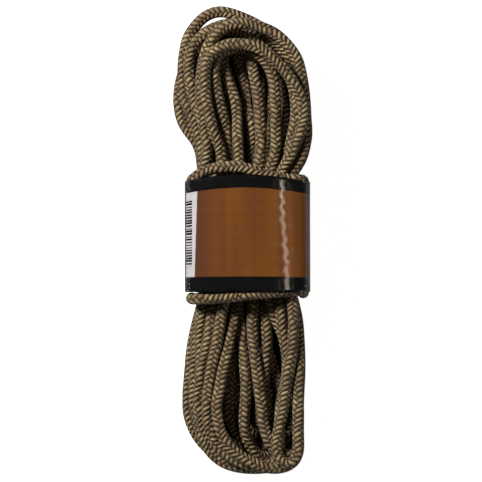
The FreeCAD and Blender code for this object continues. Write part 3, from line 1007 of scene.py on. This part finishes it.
    def build(self) -> bpy.types.Object:
        """Returns:
            The cord, with its melted ends dressed too.
        """
        places = self.settled_route()
        line = self.spline_line(places)
        count = len(line.vertices)
        points = np.empty(count * 3)
        line.vertices.foreach_get("co", points)
        points = points.reshape(-1, 3)
        piece = self.sweep(line, "hank_cord")
        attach(piece, Body.CORD.value)
        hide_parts("hank_cover", "hank_core", "wrap_cover", "wrap_core")
        ends = ["inner_end", "outer_end"]
        for name in ends:
            node = bpy.data.objects[name]
            node.data.materials.clear()
            node.data.materials.append(self.ends.material())
        return piece


@dataclass(frozen=True)
class CardFinish:
    """Thin card, offset printed and varnished: brown between black bands, and a pale panel with bars."""

    brown: str = "#754619"
    # Darker streak tone: painted shade in the soft vertical streaks over the brown.
    streak_shade: str = "#693D1B"
    red: str = "#5A3420"
    black: str = "#040405"
    pale: str = "#BFBEC5"
    top_band_mm: float = 28.5
    bottom_band_mm: float = -22.0
    panel_mm: tuple[float, float] = (-40.5, -31.6)
    panel_slant: float = 0.035
    red_until_mm: float = -12.0
    # Size and share of the painted streaks of reflection and shade.
    painted_streak_scale: Place = (0.11, 0.006, 0.0)
    painted_streaks_from: float = 0.35
    painted_streaks_to: float = 0.65
    bars_per_mm: float = 0.62
    bar_share: tuple[float, float] = (0.35, 0.9)
    bars_across_mm: tuple[float, float] = (-41.0, -34.2)
    bars_along_mm: tuple[float, float] = (-15.5, 24.0)

    def material(self) -> bpy.types.Material:
        """Build the material.

        Returns:
            A material that reads the card's map: millimetres round the sleeve and along the hank.
        """
        material, tree, out = new_material("Printed card")
        uv = add_node(tree, "ShaderNodeUVMap", {"uv_map": "UVMap"}).outputs[0]
        axes = add_node(tree, "ShaderNodeSeparateXYZ", None, {0: uv}).outputs
        stretched = add_node(tree, "ShaderNodeVectorMath", {"operation": "MULTIPLY"},
                             {0: uv, 1: self.painted_streak_scale})
        # Painted reflection and shade: soft vertical streaks lighten and darken the brown, as if the varnish
        # caught the light in bands.
        painted_streaks = add_node(tree, "ShaderNodeTexNoise", None,
                           {"Vector": stretched.outputs[0], "Scale": 1.0, "Detail": 1.0})
        tone = add_node(tree, "ShaderNodeMapRange", {"interpolation_type": "SMOOTHSTEP"},
                        {0: painted_streaks.outputs[0], 1: self.painted_streaks_from, 2: self.painted_streaks_to})
        even = add_node(tree, "ShaderNodeMix", {"data_type": "RGBA"},
                        {0: tone.outputs[0], 6: to_linear(self.streak_shade), 7: to_linear(self.brown)})
        # The brown runs darker and redder towards the pale panel at the left.
        inwards = add_node(tree, "ShaderNodeMapRange", {"interpolation_type": "SMOOTHSTEP"},
                           {0: axes[0], 1: self.panel_mm[1], 2: self.red_until_mm})
        brown = add_node(tree, "ShaderNodeMix", {"data_type": "RGBA"},
                         {0: inwards.outputs[0], 6: to_linear(self.red), 7: even.outputs[2]})
        edge = add_node(tree, "ShaderNodeMath", {"operation": "MULTIPLY_ADD"},
                        {0: axes[1], 1: self.panel_slant, 2: self.panel_mm[1]})
        left_of = add_node(tree, "ShaderNodeMath", {"operation": "LESS_THAN"},
                           {0: axes[0], 1: edge.outputs[0]})
        right_of = add_node(tree, "ShaderNodeMath", {"operation": "GREATER_THAN"},
                            {0: axes[0], 1: self.panel_mm[0]})
        panel = add_node(tree, "ShaderNodeMath", {"operation": "MULTIPLY"},
                         {0: left_of.outputs[0], 1: right_of.outputs[0]})
        bars = self.bars(tree, axes)
        paper = add_node(tree, "ShaderNodeMix", {"data_type": "RGBA"},
                         {0: bars, 6: to_linear(self.pale), 7: to_linear(self.black)})
        middle = add_node(tree, "ShaderNodeMix", {"data_type": "RGBA"},
                          {0: panel.outputs[0], 6: brown.outputs[2], 7: paper.outputs[2]})
        above = add_node(tree, "ShaderNodeMath", {"operation": "GREATER_THAN"},
                         {0: axes[1], 1: self.top_band_mm})
        below = add_node(tree, "ShaderNodeMath", {"operation": "LESS_THAN"},
                         {0: axes[1], 1: self.bottom_band_mm})
        band = add_node(tree, "ShaderNodeMath", {"operation": "MAXIMUM"},
                        {0: above.outputs[0], 1: below.outputs[0]})
        printed = add_node(tree, "ShaderNodeMix", {"data_type": "RGBA"},
                           {0: band.outputs[0], 6: middle.outputs[2], 7: to_linear(self.black)})
        shader = add_node(tree, "ShaderNodeBsdfPrincipled", None,
                          {"Base Color": printed.outputs[2], "Roughness": 0.6, "Specular IOR Level": 0.05,
                           "Coat Weight": 0.5, "Coat Roughness": 0.06})
        tree.links.new(shader.outputs[0], out.inputs[0])
        return material

    def bars(self, tree: bpy.types.NodeTree, axes: bpy.types.NodeOutputs) -> bpy.types.NodeSocket:
        """Draw plain bars of uneven thickness across the pale panel.

        Args:
            tree: the material's tree.
            axes: the map's coordinates.

        Returns:
            One where a bar is, and nought between.
        """
        step = add_node(tree, "ShaderNodeMath", {"operation": "MULTIPLY"}, {0: axes[1], 1: self.bars_per_mm})
        number = add_node(tree, "ShaderNodeMath", {"operation": "FLOOR"}, {0: step.outputs[0]})
        dice = add_node(tree, "ShaderNodeTexWhiteNoise", {"noise_dimensions": "1D"}, {"W": number.outputs[0]})
        part = add_node(tree, "ShaderNodeMath", {"operation": "FRACT"}, {0: step.outputs[0]})
        thick = add_node(tree, "ShaderNodeMapRange", None,
                         {0: dice.outputs[0], 3: self.bar_share[0], 4: self.bar_share[1]})
        bar = add_node(tree, "ShaderNodeMath", {"operation": "LESS_THAN"},
                       {0: part.outputs[0], 1: thick.outputs[0]})
        for axis, limits in ((1, self.bars_along_mm), (0, self.bars_across_mm)):
            for operation, limit in zip(("GREATER_THAN", "LESS_THAN"), limits):
                inside = add_node(tree, "ShaderNodeMath", {"operation": operation}, {0: axes[axis], 1: limit})
                bar = add_node(tree, "ShaderNodeMath", {"operation": "MULTIPLY"},
                               {0: bar.outputs[0], 1: inside.outputs[0]})
        return bar.outputs[0]


@dataclass(frozen=True)
class BoardFinish:
    """Bare greyboard at the card's cut edges and inside: matt, with short flecks of pulp."""

    light: str = "#B9AE9A"
    dark: str = "#A2957E"
    fleck_mm: float = 0.6
    fleck_height: float = 0.00005

    def material(self) -> bpy.types.Material:
        """Build the material.

        Returns:
            The finished material.
        """
        material, tree, out = new_material("Greyboard")
        grain = add_node(tree, "ShaderNodeTexNoise", None,
                         {"Vector": add_node(tree, "ShaderNodeTexCoord").outputs["Object"],
                          "Scale": 1.0 / (self.fleck_mm * MM), "Detail": 2.0})
        tone = add_node(tree, "ShaderNodeMix", {"data_type": "RGBA"},
                        {0: grain.outputs[0], 6: to_linear(self.dark), 7: to_linear(self.light)})
        bump = add_node(tree, "ShaderNodeBump", None,
                        {"Height": grain.outputs[0], "Distance": self.fleck_height})
        shader = add_node(tree, "ShaderNodeBsdfPrincipled", None,
                          {"Base Color": tone.outputs[2], "Roughness": 0.9, "Normal": bump.outputs[0]})
        tree.links.new(shader.outputs[0], out.inputs[0])
        return material


@dataclass(frozen=True)
class FilmFinish:
    """Clear polypropylene film over the print: see-through and glossy, with a faint haze."""

    colour: str = "#F2F4F6"
    haze: float = 0.05

    def material(self) -> bpy.types.Material:
        """Build the material.

        Returns:
            The finished material.
        """
        material, tree, out = new_material("Clear film")
        shader = add_node(tree, "ShaderNodeBsdfPrincipled", None,
                          {"Base Color": to_linear(self.colour), "Roughness": 0.05, "IOR": 1.49,
                           "Transmission Weight": 1.0, "Alpha": self.haze})
        tree.links.new(shader.outputs[0], out.inputs[0])
        return material


@dataclass(frozen=True)
class GlueFinish:
    """Dried hot glue: waxy and off-white, a little cloudy."""

    light: str = "#DDD3B8"
    dark: str = "#C9BD9E"
    cloud_mm: float = 2.5

    def material(self) -> bpy.types.Material:
        """Build the material.

        Returns:
            The finished material.
        """
        material, tree, out = new_material("Hot glue")
        cloud = add_node(tree, "ShaderNodeTexNoise", None,
                         {"Vector": add_node(tree, "ShaderNodeTexCoord").outputs["Object"],
                          "Scale": 1.0 / (self.cloud_mm * MM)})
        tone = add_node(tree, "ShaderNodeMix", {"data_type": "RGBA"},
                        {0: cloud.outputs[0], 6: to_linear(self.dark), 7: to_linear(self.light)})
        shader = add_node(tree, "ShaderNodeBsdfPrincipled", None,
                          {"Base Color": tone.outputs[2], "Roughness": 0.45, "Subsurface Weight": 0.2})
        tree.links.new(shader.outputs[0], out.inputs[0])
        return material


@dataclass
class Sleeve:
    """The card sleeve with its overlap at the back, and the clear film over its print.

    Its upper edge rises in the middle of the front, and the wraps show faintly through it there.
    """

    card: float = 0.4
    film: float = 0.12
    glue: float = 0.1
    centre_x: float = 3.3
    half: float = 26.425
    back_z: float = 12.05
    front_z: float = 54.075
    radius: float = 11.75
    lean: float = 10.0
    seam: float = 12.0
    seam_slope: float = 3.0
    film_hem: float = 3.0
    top: float = 36.0
    bottom: float = -31.0
    rows: int = 44
    corner_steps: int = 18
    front_steps: int = 60
    side_steps: int = 16
    back_steps: int = 10
    crown: float = 4.3
    crown_left: float = 0.05
    crown_power: float = 1.8
    front_from_z: float = 45.0
    front_over: float = 20.0
    flat_from_z: float = 58.0
    flat_over: float = 6.0
    floor_from_z: float = 3.0
    floor_over: float = 6.0
    wrap_pitch: float = 7.6
    wrap_y: float = -35.4
    wrap_slant: float = 0.034
    ripple: float = 0.08
    edge_share: float = 1 / 6
    unevenness: float = 0.08
    card_finish: CardFinish = CardFinish()
    board_finish: BoardFinish = BoardFinish()
    film_finish: FilmFinish = FilmFinish()
    glue_finish: GlueFinish = GlueFinish()

    def outline(self) -> list[tuple[float, float]]:
        """Follow the card's outer face round the waist.

        Returns:
            Places across the hank and in height, from the inner flap's edge to the outer flap's.
        """
        step_x = self.centre_x - self.seam / 2
        rise = self.card + self.glue
        points = [(step_x + self.seam * (1 - k / 6), rise) for k in range(7)]
        points += [(step_x - self.seam_slope * k / 4, rise * (0.5 + 0.5 * math.cos(math.pi * k / 4)))
                   for k in range(1, 5)]
        arcs = [(-self.half, self.back_z, 270, 180), (-self.half, self.front_z, 180, 90 + self.lean),
                (self.half, self.front_z, 90 - self.lean, 0), (self.half, self.back_z, 0, -90)]
        front_radius = self.half / math.sin(math.radians(self.lean)) + self.radius
        sink = self.front_z - self.half / math.tan(math.radians(self.lean))
        for number, (x, z, first, last) in enumerate(arcs):
            for k in range(self.corner_steps + 1):
                angle = math.radians(first + (last - first) * k / self.corner_steps)
                points.append((self.centre_x + x + self.radius * math.cos(angle),
                               z + self.radius * math.sin(angle)))
            if number == 1:
                for k in range(1, self.front_steps):
                    angle = math.radians(90 + self.lean - 2 * self.lean * k / self.front_steps)
                    points.append((self.centre_x + front_radius * math.cos(angle),
                                   sink + front_radius * math.sin(angle)))
            elif number in (0, 2):
                low, high = (self.back_z, self.front_z) if number == 0 else (self.front_z, self.back_z)
                side = -1 if number == 0 else 1
                edge = self.centre_x + side * (self.half + self.radius)
                points += [(edge, low + (high - low) * k / self.side_steps)
                           for k in range(1, self.side_steps)]
        start_x = points[-1][0]
        points += [(start_x + (step_x - start_x) * k / self.back_steps, 0.0)
                   for k in range(1, self.back_steps + 1)]
        return points

    def shaped(self, x: float, z: float, share: float, out: tuple[float, float], round_mm: float) -> Place:
        """Give one point of the sleeve.

        Args:
            x: across the hank, on the plain outline.
            z: height on the plain outline.
            share: from nought at the lower edge to one at the upper one.
            out: the outline's outward direction.
            round_mm: way round the sleeve from the middle of its front.

        Returns:
            The point, with the crowned upper edge and the wraps showing through.
        """
        front = min(1.0, max(0.0, (z - self.front_from_z) / self.front_over))
        across = (x - self.centre_x) / (self.half + self.radius)
        lift = self.crown * max(0.0, 1 - abs(across + self.crown_left) ** self.crown_power) * front
        y = self.bottom + (self.top + lift - self.bottom) * share
        edge = 0.5 - 0.5 * math.cos(math.pi * min(1.0, min(share, 1 - share) / self.edge_share))
        turns = (y - self.wrap_y - round_mm * self.wrap_slant) / self.wrap_pitch
        wave = self.ripple * math.cos(2 * math.pi * turns)
        soft = self.unevenness * math.sin(round_mm / 9.0 + 0.6) * math.sin(y / 17.0)
        flat = min(1.0, max(0.0, (z - self.flat_from_z) / self.flat_over))
        off_floor = min(1.0, max(0.0, (z - self.floor_from_z) / self.floor_over))
        bulge = (wave * edge * flat + soft) * off_floor - self.ripple * front
        return x + out[0] * bulge, y, z + out[1] * bulge

    def shell(self, name: str, offset: float, hem: float) -> bpy.types.Mesh:
        """Make one layer's outer face with its map in millimetres.

        Args:
            name: the mesh's name.
            offset: how far outside the card it lies.
            hem: least height above the floor.

        Returns:
            An open sheet that faces outwards.
        """
        line = [p for p in self.outline() if p[1] >= hem]
        ways = [0.0]
        for here, there in zip(line, line[1:]):
            ways.append(ways[-1] + math.dist(here, there))
        middle = next(w for w, (x, z) in zip(ways, line)
                      if z > self.front_z + self.radius and x >= self.centre_x)
        places, maps = [], []
        for k, (x, z) in enumerate(line):
            before, after = line[max(k - 1, 0)], line[min(k + 1, len(line) - 1)]
            run = math.dist(before, after)
            out = ((before[1] - after[1]) / run, (after[0] - before[0]) / run)
            for row in range(self.rows + 1):
                place = self.shaped(x, z, row / self.rows, out, ways[k] - middle)
                places.append(((place[0] + out[0] * offset) * MM, place[1] * MM,
                               (place[2] + out[1] * offset) * MM))
                maps.append((ways[k] - middle, self.bottom + (self.top - self.bottom) * row / self.rows))
        width = self.rows + 1
        faces = [(k * width + r, (k + 1) * width + r, (k + 1) * width + r + 1, k * width + r + 1)
                 for k in range(len(line) - 1) for r in range(self.rows)]
        mesh = bpy.data.meshes.new(name)
        mesh.from_pydata(places, [], faces)
        layer = mesh.uv_layers.new(name="UVMap")
        for loop in mesh.loops:
            layer.data[loop.index].uv = maps[loop.vertex_index]
        mesh.shade_smooth()
        return mesh

    def build(self) -> None:
        """Make the card and the film, and dress the glue."""
        mesh = self.shell("sleeve_print", 0.0, 0.0)
        mesh.materials.append(self.card_finish.material())
        mesh.materials.append(self.board_finish.material())
        card = new_object("sleeve_print", mesh)
        thick = card.modifiers.new("Card", "SOLIDIFY")
        thick.thickness, thick.offset = self.card * MM, -1.0
        thick.material_offset = thick.material_offset_rim = 1
        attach(card, Body.SLEEVE.value)
        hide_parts("sleeve_card")
        mesh = self.shell("sleeve_clear", self.film / 2, self.film_hem)
        mesh.materials.append(self.film_finish.material())
        film = new_object("sleeve_clear", mesh)
        thick = film.modifiers.new("Film", "SOLIDIFY")
        thick.thickness, thick.offset = self.film / 2 * MM, 1.0
        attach(film, Body.SLEEVE.value)
        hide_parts("sleeve_film")
        node = bpy.data.objects["sleeve_glue"]
        node.data.materials.clear()
        node.data.materials.append(self.glue_finish.material())
        log.info("sleeve: card, film and glue")


@dataclass(frozen=True)
class Lamp:
    """A soft rectangular light that looks at the hank, in metres and watts."""

    name: str
    place: Place
    size: tuple[float, float]
    power: float
    colour: str


@dataclass
class Studio:
    """A pale floor, soft lights and the camera, which looks straight down on the hank's front."""

    pixel_mm: float = 0.61
    middle_pixel: tuple[float, float] = (242.0, 241.0)
    front_mm: float = 45.0
    distance: float = 2.2
    sensor_mm: float = 36.0
    floor_half: float = 6.0
    paper: str = "#C4C4C4"
    unseen_paper: str = "#505050"
    glow: float = 0.95
    mirrored_share: float = 0.3
    air: str = "#F4F6FA"
    air_strength: float = 0.035
    lamps: tuple[Lamp, ...] = (
        Lamp("key", (-0.84, 0.68, 1.13), (0.3, 0.3), 30.5, "#FFFAF2"),
        Lamp("side", (1.2, -1.1, 0.3), (0.5, 0.5), 6.0, "#F4F6FA"),
        Lamp("strip", (0.44, 0.06, 1.5), (0.45, 0.045), 0.8, "#FFEBD0"))

    def camera(self) -> None:
        """Place the camera, with the photograph's scale at the front strands' height."""
        data = bpy.data.cameras.new("camera")
        data.sensor_width = self.sensor_mm
        width = IMAGE_SIDE * self.pixel_mm * MM
        data.lens = data.sensor_width * self.distance / width
        data.clip_start, data.clip_end = 0.05, 50.0
        camera = bpy.data.objects.new("camera", data)
        middle = IMAGE_SIDE / 2
        x = (middle - self.middle_pixel[0]) * self.pixel_mm * MM
        y = (self.middle_pixel[1] - middle) * self.pixel_mm * MM
        camera.location = (x, y, self.front_mm * MM + self.distance)
        bpy.context.collection.objects.link(camera)
        bpy.context.scene.camera = camera

    def light(self, lamp: Lamp) -> None:
        """Add a light.

        Args:
            lamp: where it stands, and what it gives.
        """
        data = bpy.data.lights.new(lamp.name, "AREA")
        data.shape = "RECTANGLE"
        data.size, data.size_y = lamp.size
        data.energy = lamp.power
        data.color = to_linear(lamp.colour)[:3]
        made = bpy.data.objects.new(lamp.name, data)
        made.location = lamp.place
        made.rotation_euler = (-Vector(lamp.place)).to_track_quat("-Z", "Y").to_euler()
        bpy.context.collection.objects.link(made)

    def floor_material(self) -> bpy.types.Material:
        """Build white paper that keeps the hank's shadow, and reads as white where nothing shades it.

        Returns:
            A material that glows for the camera and, dimmer, in gloss, and is dark grey for other light.
        """
        material, tree, out = new_material("White paper")
        path = add_node(tree, "ShaderNodeLightPath").outputs
        mirrored = add_node(tree, "ShaderNodeMath", {"operation": "MULTIPLY"},
                            {0: path["Is Glossy Ray"], 1: self.mirrored_share})
        seen = add_node(tree, "ShaderNodeMath", {"operation": "MAXIMUM"},
                        {0: path["Is Camera Ray"], 1: mirrored.outputs[0]})
        paper = add_node(tree, "ShaderNodeBsdfDiffuse", None, {"Color": to_linear(self.paper)})
        glow = add_node(tree, "ShaderNodeEmission", None,
                        {"Color": to_linear("#FFFFFF"), "Strength": self.glow})
        both = add_node(tree, "ShaderNodeAddShader", None, {0: paper.outputs[0], 1: glow.outputs[0]})
        dim = add_node(tree, "ShaderNodeBsdfDiffuse", None, {"Color": to_linear(self.unseen_paper)})
        mix = add_node(tree, "ShaderNodeMixShader", None,
                       {0: seen.outputs[0], 1: dim.outputs[0], 2: both.outputs[0]})
        tree.links.new(mix.outputs[0], out.inputs[0])
        return material

    def world(self) -> None:
        """Light the scene softly from all round, with white for the camera and through the film."""
        world = bpy.data.worlds.new("studio")
        bpy.context.scene.world = world
        world.use_nodes = True
        tree = world.node_tree
        tree.nodes.clear()
        out = add_node(tree, "ShaderNodeOutputWorld")
        path = add_node(tree, "ShaderNodeLightPath").outputs
        seen = add_node(tree, "ShaderNodeMath", {"operation": "MAXIMUM"},
                        {0: path["Is Camera Ray"], 1: path["Is Transmission Ray"]})
        soft = add_node(tree, "ShaderNodeBackground", None,
                        {"Color": to_linear(self.air), "Strength": self.air_strength})
        white = add_node(tree, "ShaderNodeBackground", None, {"Color": to_linear("#FFFFFF"), "Strength": 1.0})
        mix = add_node(tree, "ShaderNodeMixShader", None,
                       {0: seen.outputs[0], 1: soft.outputs[0], 2: white.outputs[0]})
        tree.links.new(mix.outputs[0], out.inputs[0])

    def build(self) -> None:
        """Set up camera, lights, world and floor."""
        bpy.context.scene.view_settings.view_transform = "Standard"
        self.camera()
        self.world()
        for lamp in self.lamps:
            self.light(lamp)
        mesh = bpy.data.meshes.new("floor")
        side = self.floor_half
        corners = [(-side, -side, 0), (side, -side, 0), (side, side, 0), (-side, side, 0)]
        mesh.from_pydata(corners, [], [(0, 1, 2, 3)])
        mesh.materials.append(self.floor_material())
        floor = new_object("floor", mesh)
        log.info("studio: camera, %d lights, world and floor", len(self.lamps))


def main() -> None:
    """Build the hank, the sleeve and the studio."""
    Cord().build()
    Sleeve().build()
    Studio().build()


if __name__ == "__main__":
    main()
